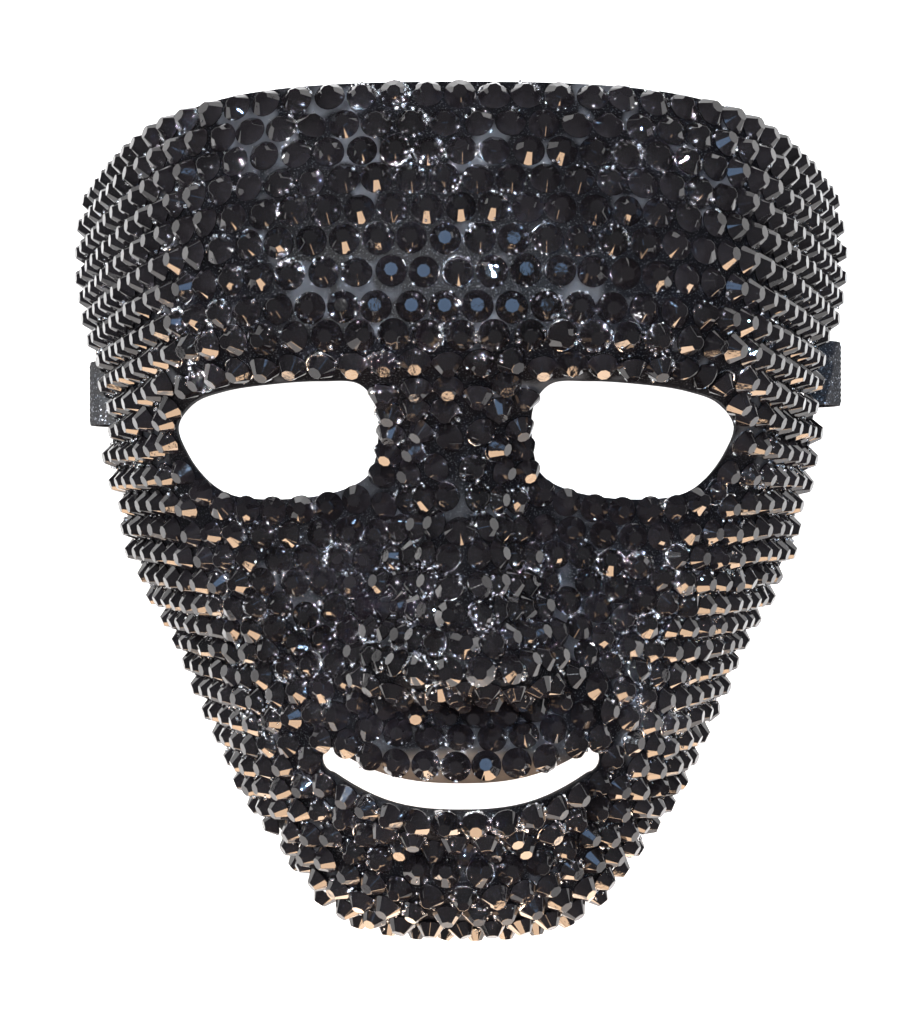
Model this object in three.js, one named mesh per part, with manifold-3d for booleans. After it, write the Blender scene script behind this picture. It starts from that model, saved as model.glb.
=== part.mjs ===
// Rhinestone masquerade mask, lying face up on its rim. Millimetres, +Z up, forehead toward +Y.
import * as THREE from "three";
import Module from "manifold-3d";
import { mergeVertices } from "three/addons/utils/BufferGeometryUtils.js";

// Shell
const SHELL_WALL = 1.8;
const ROWS = 32;
const COLUMN_STOPS = [0, 0.034, 0.072, 0.112, 0.16, 0.22, 0.31, 0.42, 0.54, 0.67, 0.82, 1];

// Stations down the face, one row of stones apart. "row" counts stone rows from the top edge.
// yMid and zMid place the centre line, yRim, zRim and halfWidth the rim, and front and side say
// how far the section runs straight before it bends: across the face and up the cheek wall.
const STATIONS = [
  { row: 0, yMid: 82.3, zMid: 73.5, yRim: 71.5, halfWidth: 87, zRim: 0, front: 0.64, side: 0.9 },
  { row: 2, yMid: 70.6, zMid: 78, yRim: 61.2, halfWidth: 88.2, zRim: 0, front: 0.65, side: 0.95 },
  { row: 3, yMid: 65, zMid: 79.8, yRim: 56, halfWidth: 87.9, zRim: 0, front: 0.65, side: 0.95 },
  { row: 6, yMid: 47.6, zMid: 83, yRim: 40.2, halfWidth: 85.3, zRim: 5, front: 0.66, side: 0.96 },
  { row: 8, yMid: 35, zMid: 82.5, yRim: 29.8, halfWidth: 83, zRim: 7, front: 0.66, side: 0.95 },
  { row: 9, yMid: 30.3, zMid: 80.5, yRim: 24.6, halfWidth: 81.8, zRim: 7.2, front: 0.66, side: 0.95 },
  { row: 10, yMid: 25.2, zMid: 76, yRim: 19.4, halfWidth: 80.9, zRim: 7, front: 0.64, side: 0.95 },
  { row: 11, yMid: 19.2, zMid: 67, yRim: 14.1, halfWidth: 80.1, zRim: 7, front: 0.62, side: 0.93 },
  { row: 12, yMid: 11.7, zMid: 58, yRim: 8.8, halfWidth: 79.3, zRim: 6, front: 0.6, side: 0.91 },
  { row: 13, yMid: 4.8, zMid: 53, yRim: 3.6, halfWidth: 78.5, zRim: 4, front: 0.57, side: 0.9 },
  { row: 14, yMid: -1, zMid: 50.5, yRim: -1.6, halfWidth: 77.8, zRim: 2.6, front: 0.56, side: 0.89 },
  { row: 16, yMid: -12.4, zMid: 49.5, yRim: -12, halfWidth: 75.2, zRim: 0.8, front: 0.55, side: 0.88 },
  { row: 17, yMid: -17.8, zMid: 49.8, yRim: -17.2, halfWidth: 72.8, zRim: 0, front: 0.55, side: 0.87 },
  { row: 18, yMid: -23.2, zMid: 50.3, yRim: -22.4, halfWidth: 69.8, zRim: 0, front: 0.55, side: 0.87 },
  { row: 20, yMid: -33.7, zMid: 52.5, yRim: -32.5, halfWidth: 63.8, zRim: 3.5, front: 0.55, side: 0.84 },
  { row: 21, yMid: -38.8, zMid: 54.5, yRim: -37.2, halfWidth: 61, zRim: 7, front: 0.56, side: 0.82 },
  { row: 22, yMid: -44.2, zMid: 56.5, yRim: -42, halfWidth: 58.3, zRim: 10.5, front: 0.56, side: 0.8 },
  { row: 24, yMid: -55.8, zMid: 56.5, yRim: -51.5, halfWidth: 52.8, zRim: 16, front: 0.56, side: 0.75 },
  { row: 26, yMid: -67, zMid: 52.5, yRim: -61, halfWidth: 47.5, zRim: 19.5, front: 0.57, side: 0.7 },
  { row: 28, yMid: -76.8, zMid: 48, yRim: -70, halfWidth: 41.3, zRim: 22.5, front: 0.57, side: 0.65 },
  { row: 30, yMid: -86.2, zMid: 41.5, yRim: -78.5, halfWidth: 34, zRim: 25, front: 0.58, side: 0.6 },
  { row: 31, yMid: -89.6, zMid: 35.5, yRim: -82.5, halfWidth: 29.8, zRim: 26, front: 0.6, side: 0.5 },
  { row: 32, yMid: -91, zMid: 28, yRim: -86, halfWidth: 24.5, zRim: 27, front: 0.62, side: 0.35 },
];
const CHEEK_LEAN = THREE.MathUtils.degToRad(23);
const ROW_SWEEP = 2.2;

// Nose: height above the cheeks and half-width, from the upper lip to the root between the brows
const NOSE = [
  { y: -43, height: 0, width: 17 },
  { y: -39.5, height: 3, width: 17 },
  { y: -37, height: 10, width: 17 },
  { y: -34.5, height: 20, width: 16.5 },
  { y: -31, height: 25, width: 15.5 },
  { y: -25, height: 25.5, width: 14 },
  { y: -10, height: 19.5, width: 11.5 },
  { y: 4, height: 12.5, width: 9.5 },
  { y: 12, height: 9, width: 9 },
  { y: 18, height: 5, width: 9 },
  { y: 26, height: 0, width: 10 },
];
const NOSE_FULLNESS = 2.3;

// Smile slot: an arc of even height with round ends
const MOUTH_HALF_WIDTH = 26.3;
const MOUTH_MIDDLE_Y = -58.2;
const MOUTH_CORNER_Y = -52;
const MOUTH_HEIGHT = 5.6;
const MOUTH_CURL = 2.5;

// Rows of stones bend up toward the corners of the smile and down below the eyes
const SMILE_LIFT = 6;
const LID_DROP = 2.6;

// Eye openings, mirrored left and right about a line a little off the middle
const EYE_MIDDLE_X = -1.2;
const EYE_OUTLINE = [
  [15.6, 13], [15.5, 20], [18.5, 24], [26, 24.6], [36, 24.2], [46, 23.2], [53.5, 21.2],
  [58, 17], [56.6, 11.5], [53, 6.4], [48, 3.1], [38, 1.8], [24, 3.5], [17.6, 7],
];
const EYE_POINTS = 22;

// Elastic strap with a sewn loop through a slot at each temple
const STRAP_WIDTH = 14.6;
const STRAP_THICKNESS = 1.4;
const STRAP_LEFT_Y = 26.2;
const STRAP_RIGHT_Y = 30.8;
const STRAP_MIDDLE_Y = 56;
const SLOT_HEIGHT = 3.4;
const SLOT_Z = 12;
const SLOT_CLEARANCE = 1.2;
const LOOP_LEFT_STANDOFF = 2.6;
const LOOP_RIGHT_STANDOFF = 3.6;
const SEWN_LENGTH = 6;
const STRAP_REST = 0.15;

// Rows of flat-backed stones
const STONE_HEIGHT = 2.45;
const ROW_BASE = 0.9;
const ROW_TABLE = 0.46;
const GLUE_GAP = 0.34;
const OPENING_MARGIN = 2;

const SHELL_FINISH = { color: 0x3b3b3e, roughness: 0.55, metalness: 0 };
const STONE_FINISH = { color: 0x08080a, roughness: 0.08, metalness: 0.1 };
const STRAP_FINISH = { color: 0x4b4b50, roughness: 0.8, metalness: 0.1 };

// Smooth curve through a table's stations that never overshoots them
function along(table, key, field, at) {
  let i = 0;
  while (i < table.length - 2 && at > table[i + 1][key]) i += 1;
  const slope = (k) => (table[k + 1][field] - table[k][field]) / (table[k + 1][key] - table[k][key]);
  const tangent = (k) => {
    if (k === 0) return slope(0);
    if (k === table.length - 1) return slope(k - 1);
    const before = slope(k - 1);
    const after = slope(k);
    if (before * after <= 0) return 0;
    const stepBefore = table[k][key] - table[k - 1][key];
    const stepAfter = table[k + 1][key] - table[k][key];
    const w1 = 2 * stepAfter + stepBefore;
    const w2 = stepAfter + 2 * stepBefore;
    return (w1 + w2) / (w1 / before + w2 / after);
  };
  const step = table[i + 1][key] - table[i][key];
  const u = (at - table[i][key]) / step;
  const ease = 3 * u ** 2 - 2 * u ** 3;
  const leave = (u ** 3 - 2 * u ** 2 + u) * step * tangent(i);
  const arrive = (u ** 3 - u ** 2) * step * tangent(i + 1);
  return (1 - ease) * table[i][field] + ease * table[i + 1][field] + leave + arrive;
}

const clamp = THREE.MathUtils.clamp;
const hill = (x, y, cx, cy, rx, ry, power = 2) =>
  Math.exp(-(Math.abs((x - cx) / rx) ** power + Math.abs((y - cy) / ry) ** power));

const smileRise = (x) => (Math.min(Math.abs(x), 34) / MOUTH_HALF_WIDTH) ** MOUTH_CURL;
const mouthLine = (x) => MOUTH_MIDDLE_Y + (MOUTH_CORNER_Y - MOUTH_MIDDLE_Y) * smileRise(x);

function noseHeight(x, y) {
  const at = clamp(y, NOSE[0].y, NOSE[NOSE.length - 1].y);
  const width = along(NOSE, "y", "width", at);
  return along(NOSE, "y", "height", at) * Math.exp(-(Math.abs(x / width) ** NOSE_FULLNESS));
}

// Features raised on the plain vault of the face
function relief(x, y) {
  const side = Math.abs(x);
  const fromMouth = y - mouthLine(x);
  const nostrils = 6 * hill(side, y, 13.5, -32.5, 6.5, 5.5);
  const cheeks = 3.5 * hill(side, y, 44, -16, 17, 15);
  const sockets = -2 * hill(side, y, 37, 12, 19, 11, 4);
  const brows = 2 * hill(side, y, 36, 29, 26, 6);
  const upperLip = 4 * Math.exp(-(((fromMouth - 6) / 4.5) ** 2) - (side / 22) ** 4);
  const lowerLip = 5.5 * Math.exp(-(((fromMouth + 6) / 4.5) ** 2) - (side / 19) ** 4);
  const groove = -2.5 * Math.exp(-(((fromMouth + 12.5) / 3.5) ** 2) - (side / 17) ** 4);
  const chin = 4 * hill(x, y, 0, -80, 15, 7);
  return noseHeight(x, y) + nostrils + cheeks + sockets + brows + upperLip + lowerLip + groove + chin;
}

// How far a row is led round the openings: 0 where it runs plainly across the face
function rowShift(x, row) {
  const side = Math.abs(x);
  const smooth = THREE.MathUtils.smoothstep;
  const nearMouth = smooth(row, 14.5, 23.5) * (1 - smooth(row, 25.5, 31)) * (1 - smooth(side, 27, 46));
  const nearEye = smooth(row, 12.6, 13.4) * (1 - smooth(row, 13.5, 19.5)) * hill(side, 0, 37, 0, 25, 1, 6);
  return SMILE_LIFT * Math.min(smileRise(x), 1) * nearMouth - LID_DROP * nearEye;
}

// Point on the shell's outer face: across runs -1 to 1 from rim to rim, row 0 to ROWS down the face
function facePoint(across, row) {
  const at = (field) => along(STATIONS, "row", field, row);
  const a = Math.abs(across);
  const halfWidth = at("halfWidth");
  const zRim = at("zRim");
  const zMid = at("zMid");
  const handle = at("side") * (zMid - zRim);
  const near = 3 * (1 - a) ** 2 * a;
  const far = 3 * (1 - a) * a ** 2;
  const farX = halfWidth - handle * Math.sin(CHEEK_LEAN);
  const farZ = zRim + handle * Math.cos(CHEEK_LEAN);
  const x = near * at("front") * halfWidth + far * farX + a ** 3 * halfWidth;
  const z = ((1 - a) ** 3 + near) * zMid + far * farZ + a ** 3 * zRim;
  const y = at("yMid") + (at("yRim") - at("yMid")) * a ** ROW_SWEEP + rowShift(x, row);
  const signedX = Math.sign(across) * x;
  return new THREE.Vector3(signedX, y, z + relief(signedX, y));
}

function faceNormal(across, row) {
  const step = 0.004;
  const rowStep = 0.06;
  const left = facePoint(Math.max(across - step, -1), row);
  const right = facePoint(Math.min(across + step, 1), row);
  const upper = facePoint(across, Math.max(row - rowStep, 0));
  const lower = facePoint(across, Math.min(row + rowStep, ROWS));
  return right.sub(left).cross(upper.sub(lower)).normalize();
}

// Closed solid between two maps of one flat grid: top and bottom faces joined by walls along the edge
function thicken(columnStops, rowStops, topAt, bottomAt) {
  const columns = columnStops.length - 1;
  const rows = rowStops.length - 1;
  const grid = new THREE.PlaneGeometry(1, 1, columns, rows);
  const count = grid.attributes.position.count;
  const points = [];
  for (const place of [topAt, bottomAt]) {
    for (const row of rowStops) {
      for (const column of columnStops) points.push(...place(column, row).toArray());
    }
  }
  const faces = [...grid.index.array];
  for (let i = 0; i < grid.index.count; i += 3) {
    const [a, b, c] = grid.index.array.slice(i, i + 3);
    faces.push(a + count, c + count, b + count);
  }
  const wide = columns + 1;
  const edge = [];
  for (let i = 0; i < columns; i += 1) edge.push(i);
  for (let j = 0; j < rows; j += 1) edge.push(j * wide + columns);
  for (let i = columns; i > 0; i -= 1) edge.push(rows * wide + i);
  for (let j = rows; j > 0; j -= 1) edge.push(j * wide);
  edge.forEach((here, k) => {
    const next = edge[(k + 1) % edge.length];
    faces.push(here, next, next + count, here, next + count, here + count);
  });
  const geometry = new THREE.BufferGeometry();
  geometry.setAttribute("position", new THREE.Float32BufferAttribute(points, 3));
  geometry.setIndex(faces);
  return geometry;
}

const wasm = await Module();
wasm.setup();

function toManifold(geometry) {
  const bare = new THREE.BufferGeometry();
  bare.setAttribute("position", geometry.attributes.position);
  if (geometry.index) bare.setIndex(geometry.index);
  const merged = mergeVertices(bare, 1e-4);
  return new wasm.Manifold(new wasm.Mesh({
    numProp: 3,
    vertProperties: new Float32Array(merged.attributes.position.array),
    triVerts: new Uint32Array(merged.index.array),
  }));
}

function fromManifold(solid) {
  const { vertProperties, triVerts, numProp } = solid.getMesh();
  const points = [];
  for (let i = 0; i < vertProperties.length; i += numProp) points.push(...vertProperties.slice(i, i + 3));
  const geometry = new THREE.BufferGeometry();
  geometry.setAttribute("position", new THREE.Float32BufferAttribute(points, 3));
  geometry.setIndex([...triVerts]);
  return geometry;
}

// Outlines of the openings, seen from straight above the face
function eyeOutline(side) {
  const control = EYE_OUTLINE.map(([x, y]) => new THREE.Vector3(EYE_MIDDLE_X + side * x, y, 0));
  const curve = new THREE.CatmullRomCurve3(control, true, "centripetal");
  const points = curve.getSpacedPoints(EYE_POINTS).slice(0, -1);
  return points.map((p) => new THREE.Vector2(p.x, p.y));
}

function mouthOutline() {
  const points = [];
  const half = MOUTH_HEIGHT / 2;
  const steps = 8;
  for (let i = 0; i <= steps; i += 1) {
    const x = MOUTH_HALF_WIDTH * (-1 + (2 * i) / steps);
    points.push(new THREE.Vector2(x, mouthLine(x) - half));
  }
  points.push(new THREE.Vector2(MOUTH_HALF_WIDTH + half * 0.8, MOUTH_CORNER_Y + half * 0.1));
  for (let i = steps; i >= 0; i -= 1) {
    const x = MOUTH_HALF_WIDTH * (-1 + (2 * i) / steps);
    points.push(new THREE.Vector2(x, mouthLine(x) + half));
  }
  points.push(new THREE.Vector2(-MOUTH_HALF_WIDTH - half * 0.8, MOUTH_CORNER_Y + half * 0.1));
  return points;
}

const OPENINGS = [eyeOutline(-1), eyeOutline(1), mouthOutline()];

function distanceToOpening(x, y, outline) {
  const here = new THREE.Vector3(x, y, 0);
  const nearest = new THREE.Vector3();
  let distance = Infinity;
  let inside = false;
  outline.forEach((p, i) => {
    const q = outline[(i + 1) % outline.length];
    const side = new THREE.Line3(new THREE.Vector3(p.x, p.y, 0), new THREE.Vector3(q.x, q.y, 0));
    side.closestPointToPoint(here, true, nearest);
    distance = Math.min(distance, nearest.distanceTo(here));
    if (p.y > y !== q.y > y && x < ((q.x - p.x) * (y - p.y)) / (q.y - p.y) + p.x) inside = !inside;
  });
  return inside ? -distance : distance;
}

const strapY = (side) => (side < 0 ? STRAP_LEFT_Y : STRAP_RIGHT_Y);

// Where the shell's wall stands at a temple, at a height above the table
function wallAt(side, z) {
  let across = 1;
  let row = 9;
  for (let turn = 0; turn < 40; turn += 1) {
    const point = facePoint(side * across, row);
    across = clamp(across - (z - point.z) * 0.004, 0.6, 1);
    row = clamp(row - (strapY(side) - point.y) * 0.15, 4, 14);
  }
  return facePoint(side * across, row);
}

function cutter(outline, low, high) {
  const settings = { depth: high - low, bevelEnabled: false };
  const geometry = new THREE.ExtrudeGeometry(new THREE.Shape(outline), settings);
  return toManifold(geometry.translate(0, 0, low));
}

function slotCutter(side) {
  const wall = wallAt(side, SLOT_Z);
  const box = new THREE.BoxGeometry(16, STRAP_WIDTH + 2 * SLOT_CLEARANCE, SLOT_HEIGHT);
  return toManifold(box.translate(wall.x, strapY(side), SLOT_Z));
}

function shellGeometry() {
  const columns = [...COLUMN_STOPS.slice(1).reverse().map((stop) => -stop), ...COLUMN_STOPS];
  const rows = Array.from({ length: ROWS + 1 }, (_, row) => row);
  const inner = (across, row) => {
    const outer = facePoint(across, row);
    const point = outer.clone().addScaledVector(faceNormal(across, row), -SHELL_WALL);
    if (Math.abs(across) === 1) point.z = outer.z;
    return point;
  };
  let solid = toManifold(thicken(columns, rows, facePoint, inner));
  for (const outline of OPENINGS) solid = solid.subtract(cutter(outline, 20, 100));
  for (const side of [-1, 1]) solid = solid.subtract(slotCutter(side));
  return fromManifold(solid);
}

// Stretches of a row that stay on the shell, clear of openings and strap slots
function freeStretches(row) {
  const stretches = [];
  const steps = 400;
  let start = null;
  for (let i = 0; i <= steps; i += 1) {
    const across = -1 + (2 * i) / steps;
    const { x, y, z } = facePoint(across, row);
    const nearOpening = OPENINGS.some((outline) => distanceToOpening(x, y, outline) < OPENING_MARGIN);
    const underStrap = Math.abs(y - strapY(Math.sign(x))) < STRAP_WIDTH / 2 + 3 && z < SLOT_Z + 4.5;
    const free = !nearOpening && !underStrap;
    if (free && start === null) start = across;
    if ((!free || i === steps) && start !== null) {
      const end = free ? across : across - 2 / steps;
      if (end - start > 0.04) stretches.push([start, end]);
      start = null;
    }
  }
  return stretches;
}

// Point over the shell's facets, straight between the facets' corners
function facetPoint(across, row, lift) {
  const above = clamp(Math.floor(row), 0, ROWS - 1);
  const lifted = (at) => facePoint(across, at).addScaledVector(faceNormal(across, at), lift);
  return lifted(above).lerp(lifted(above + 1), row - above);
}

// A row of stones fused into one faceted band: flat backs below, tables on top, crowns as its slopes
function stoneRow(row, [start, end]) {
  const stops = [...COLUMN_STOPS.slice(1).reverse().map((stop) => -stop), ...COLUMN_STOPS];
  const columns = [start, ...stops.filter((stop) => stop > start + 0.02 && stop < end - 0.02), end];
  const band = (across, side, half, lift) => {
    const inset = clamp(across, start + (0.5 - half) * 0.03, end - (0.5 - half) * 0.03);
    return facetPoint(inset, row + 0.5 + side * half, lift);
  };
  return thicken(
    columns,
    [-1, 1],
    (across, side) => band(across, side, ROW_TABLE / 2, GLUE_GAP + STONE_HEIGHT),
    (across, side) => band(across, side, ROW_BASE / 2, GLUE_GAP),
  );
}

// Elastic: sewn tail inside, out through the slot, down the wall, under the rim and across the table
function strapGeometry() {
  const half = STRAP_THICKNESS / 2;
  const floor = half + STRAP_REST;
  const side = (s) => {
    const slot = wallAt(s, SLOT_Z);
    const foot = wallAt(s, 8);
    const y = strapY(s);
    const standoff = s < 0 ? LOOP_LEFT_STANDOFF : LOOP_RIGHT_STANDOFF;
    const out = Math.max(Math.abs(slot.x), Math.abs(foot.x)) + standoff;
    return [
      [s * (Math.abs(foot.x) - 9 - SEWN_LENGTH), y, floor + STRAP_THICKNESS + 0.4],
      [s * (Math.abs(foot.x) - 11), y, floor + STRAP_THICKNESS + 0.7],
      [s * (Math.abs(slot.x) - 13), y, SLOT_Z - 5],
      [s * (Math.abs(slot.x) - 7.5), y, SLOT_Z - 0.3],
      [s * (Math.abs(slot.x) - 2), y, SLOT_Z],
      [s * (Math.abs(slot.x) + 2), y, SLOT_Z],
      [s * out, y, SLOT_Z - 3],
      [s * (out + 0.4), y, 5.5],
      [s * (out - 1.8), y, 1.6],
      [s * (out - 6), y, floor],
      [s * (Math.abs(foot.x) - 12), y + 1.5, floor],
      [s * (Math.abs(foot.x) - 25), y + 11, floor],
    ].map((p) => new THREE.Vector3(...p));
  };
  const route = [
    ...side(-1),
    new THREE.Vector3(-26, STRAP_MIDDLE_Y - 5, floor),
    new THREE.Vector3(0, STRAP_MIDDLE_Y, floor),
    new THREE.Vector3(26, STRAP_MIDDLE_Y - 5, floor),
    ...side(1).reverse(),
  ];
  const curve = new THREE.CatmullRomCurve3(route, false, "centripetal");
  const steps = 60;
  const stops = Array.from({ length: steps + 1 }, (_, i) => i / steps);
  const frame = (u) => {
    const tangent = curve.getTangentAt(u);
    const flat = new THREE.Vector3(tangent.x, tangent.y, 0);
    const bend = Math.abs(curve.getPointAt(u).x) < 55 ? 1 : 0;
    const across = bend ? new THREE.Vector3(-flat.y, flat.x, 0).normalize() : new THREE.Vector3(0, 1, 0);
    const up = tangent.clone().cross(across).normalize();
    return { point: curve.getPointAt(u), across, up };
  };
  const place = (lift) => (u, edge) => {
    const { point, across, up } = frame(u);
    const flip = up.z < 0 && Math.abs(point.x) < 55 ? -1 : 1;
    return point.addScaledVector(across, (edge * STRAP_WIDTH * flip) / 2).addScaledVector(up, lift * flip);
  };
  return thicken(stops, [1, -1], place(half), place(-half));
}

function part(name, geometry, finish) {
  const mesh = new THREE.Mesh(geometry, new THREE.MeshStandardMaterial({ ...finish, flatShading: true }));
  mesh.name = name;
  return mesh;
}

const mask = new THREE.Group();
mask.add(part("mask_shell", shellGeometry(), SHELL_FINISH));
for (let row = 0; row < ROWS; row += 1) {
  const stretches = freeStretches(row + 0.5);
  const names = [[""], ["_left", "_right"], ["_left", "_mid", "_right"]][stretches.length - 1];
  const label = String(row + 1).padStart(2, "0");
  stretches.forEach((stretch, i) => {
    mask.add(part(`stone_row_${label}${names[i]}`, stoneRow(row, stretch), STONE_FINISH));
  });
}
mask.add(part("elastic_strap", strapGeometry(), STRAP_FINISH));

// The origin is the middle of the table under the mask
const reach = new THREE.Box3().setFromObject(mask);
mask.position.y = -(reach.min.y + reach.max.y) / 2;
mask.position.z = -reach.min.z;

export default mask;
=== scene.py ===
"""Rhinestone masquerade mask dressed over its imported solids. Metres, +Z up, forehead toward +Y."""

import math

import bmesh
import bpy
import numpy as np
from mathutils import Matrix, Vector


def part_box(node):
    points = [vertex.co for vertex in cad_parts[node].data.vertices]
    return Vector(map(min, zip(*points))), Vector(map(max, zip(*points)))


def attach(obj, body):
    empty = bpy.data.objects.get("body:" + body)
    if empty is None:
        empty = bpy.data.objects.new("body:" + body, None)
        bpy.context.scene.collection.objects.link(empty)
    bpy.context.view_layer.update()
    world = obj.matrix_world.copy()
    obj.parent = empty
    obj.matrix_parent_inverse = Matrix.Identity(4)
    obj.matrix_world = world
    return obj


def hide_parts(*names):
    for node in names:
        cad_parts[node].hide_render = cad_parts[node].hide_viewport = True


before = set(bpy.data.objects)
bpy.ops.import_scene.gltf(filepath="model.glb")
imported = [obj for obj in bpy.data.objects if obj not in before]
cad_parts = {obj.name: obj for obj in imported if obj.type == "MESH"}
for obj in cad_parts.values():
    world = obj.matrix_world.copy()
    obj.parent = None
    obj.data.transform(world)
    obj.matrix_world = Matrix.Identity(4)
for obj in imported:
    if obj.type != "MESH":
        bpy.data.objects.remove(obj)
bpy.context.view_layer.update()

MM = 0.001
SQUARE = ((-1, -1), (1, -1), (1, 1), (-1, 1))

# The face, section by section, in the part's own millimetres: row of stones counted from the top
# edge, centre line, rim, half-width, and how far a section runs straight before it bends
STATION_FIELDS = ("row", "y_mid", "z_mid", "y_rim", "half_width", "z_rim", "front", "side")
STATIONS = (
    (0, 82.3, 73.5, 71.5, 87, 0, 0.64, 0.9),
    (2, 70.6, 78, 61.2, 88.2, 0, 0.65, 0.95),
    (3, 65, 79.8, 56, 87.9, 0, 0.65, 0.95),
    (6, 47.6, 83, 40.2, 85.3, 5, 0.66, 0.96),
    (8, 35, 82.5, 29.8, 83, 7, 0.66, 0.95),
    (9, 30.3, 80.5, 24.6, 81.8, 7.2, 0.66, 0.95),
    (10, 25.2, 76, 19.4, 80.9, 7, 0.64, 0.95),
    (11, 19.2, 67, 14.1, 80.1, 7, 0.62, 0.93),
    (12, 11.7, 58, 8.8, 79.3, 6, 0.6, 0.91),
    (13, 4.8, 53, 3.6, 78.5, 4, 0.57, 0.9),
    (14, -1, 50.5, -1.6, 77.8, 2.6, 0.56, 0.89),
    (16, -12.4, 49.5, -12, 75.2, 0.8, 0.55, 0.88),
    (17, -17.8, 49.8, -17.2, 72.8, 0, 0.55, 0.87),
    (18, -23.2, 50.3, -22.4, 69.8, 0, 0.55, 0.87),
    (20, -33.7, 52.5, -32.5, 63.8, 3.5, 0.55, 0.84),
    (21, -38.8, 54.5, -37.2, 61, 7, 0.56, 0.82),
    (22, -44.2, 56.5, -42, 58.3, 10.5, 0.56, 0.8),
    (24, -55.8, 56.5, -51.5, 52.8, 16, 0.56, 0.75),
    (26, -67, 52.5, -61, 47.5, 19.5, 0.57, 0.7),
    (28, -76.8, 48, -70, 41.3, 22.5, 0.57, 0.65),
    (30, -86.2, 41.5, -78.5, 34, 25, 0.58, 0.6),
    (31, -89.6, 35.5, -82.5, 29.8, 26, 0.6, 0.5),
    (32, -91, 28, -86, 24.5, 27, 0.62, 0.35),
)

# Rows of stones, how far the side walls lean in, how sharply rows sweep back to the rim, how thick the
# plastic is, and the bend from which its edges are sharp
ROWS = 32
CHEEK_LEAN = math.radians(23)
ROW_SWEEP = 2.2
SHELL_WALL = 1.8
CREASE = math.radians(38)

# Nose: height and half-width by how far up the face
NOSE_Y = (-43, -39.5, -37, -34.5, -31, -25, -10, 4, 12, 18, 26)
NOSE_HEIGHT = (0, 3, 10, 20, 25, 25.5, 19.5, 12.5, 9, 5, 0)
NOSE_WIDTH = (17, 17, 17, 16.5, 15.5, 14, 11.5, 9.5, 9, 9, 10)
NOSE_FULLNESS = 2.3

# Smile slot, how the rows rise with it, and the strips over and under it that hold no stones
MOUTH_HALF_WIDTH = 26.3
MOUTH_MIDDLE_Y = -58.2
MOUTH_CORNER_Y = -52
MOUTH_HEIGHT = 5.6
MOUTH_CURL = 2.5
SMILE_REACH = 34
SMILE_LIFT = 6
LIP_BARE_ABOVE = 1.2
LIP_BARE_BELOW = 0.2

# Eye openings: one outline for both sides, x counted from between the eyes; the rows' drop under them;
# and the heights between which openings are cut
EYE_MIDDLE_X = -1.2
EYE_OUTLINE = (
    (15.6, 13), (15.5, 20), (18.5, 24), (26, 24.6), (36, 24.2), (46, 23.2), (53.5, 21.2),
    (58, 17), (56.6, 11.5), (53, 6.4), (48, 3.1), (38, 1.8), (24, 3.5), (17.6, 7),
)
LID_DROP = 2.6
CUT_BOTTOM, CUT_TOP = 20, 100

# Elastic and its slots, and the room beside and above them without stones; -1 is the side toward -X
STRAP_WIDTH = 14.6
STRAP_THICKNESS = 1.4
STRAP_Y = {-1: 26.2, 1: 30.8}
STRAP_MIDDLE_Y = 56
STRAP_REST = 0.15
STRAP_CORDS = 12
CORD_HEIGHT = 0.07
PICK_HEIGHT = 0.035
SLOT_HEIGHT = 3.4
SLOT_Z = 12
SLOT_CLEARANCE = 1.2
SLOT_CUT = 8
LOOP_STANDOFF = {-1: 2.6, 1: 3.6}
SEWN_LENGTH = 6
ROOM_BESIDE, ROOM_ABOVE = 2.2, 4.5

# One stone: girdle radius, table radius, girdle and full height, its eight main facets and their
# half-width in degrees, how much smaller its back is, the bevel along its facets, and a small one's scale
STONE_RADIUS = 3.02
STONE_TABLE = 1.34
STONE_GIRDLE = 0.34
STONE_HEIGHT = 2.85
MAIN_FACETS = 8
MAIN_HALF = 15.5
STONE_BACK = 0.985
STONE_EDGE = 0.04
SMALL_STONE = 0.78

# How the stones are laid: pitch, closest spacing, glue under them, tilt, and room round the openings
STONE_PITCH = 6.34
STONE_CLOSEST = 5.72
STONE_GLUE = 0.16
SEAT_REACH, SEAT_LIFT = 0.8, 0.6
STONE_TILT = 0.1
TIPPED_BACK = 0.17
OPENING_MARGIN = 2.5
RIM_MARGIN = 2.3
WHOLE_ROW = 0.7
ROW_UNEVEN, ALONG_UNEVEN, DOWN_UNEVEN = 0.25, 0.1, 0.02
GAP_TRIES = 60000

# How hard stones are pushed off each other and off an opening, how hard and from how far they are drawn
# to its edge, and how near to the rim and to the ends of the rows they may go
PUSH_APART = 0.42
PUSH_CLEAR = 0.6
EDGE_DRAW = 0.22
EDGE_ZONE = 2.6
RIM_AT = 0.985
TOP_ROW_AT, LAST_ROW_AT = 0.46, ROWS - 0.42

# Glue: points in a ring, share of stones with one, how uneven and how many the beads are, and their sides
GLUE_SEGMENTS = 20
RING_SHARE = 0.3
BEADS_UNEVEN, BEADS_PLENTY = 1.1, 13
BEAD_SIDES, BEAD_RINGS = 5, 4

# How far the table runs to each side, in metres; the camera's height over it, in millimetres; and the
# focal length and long side of the picture, in pixels
TABLE_REACH = 40
CAMERA_HEIGHT = 415
FOCAL_PX = 1770
FRAME_LONG_SIDE_PX = 1016

# The solids' middle is the origin, so the face's own y is shifted by what the shell's top edge shows
FACE_SHIFT = Vector((0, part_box("mask_shell")[1].y - STATIONS[0][1] * MM, 0))


# The face as a surface

def lengths(v):
    """Length of each vector."""
    return np.linalg.norm(v, axis=-1)


def unit(v):
    """Each vector at length 1."""
    return v / lengths(v)[..., None]


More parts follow.
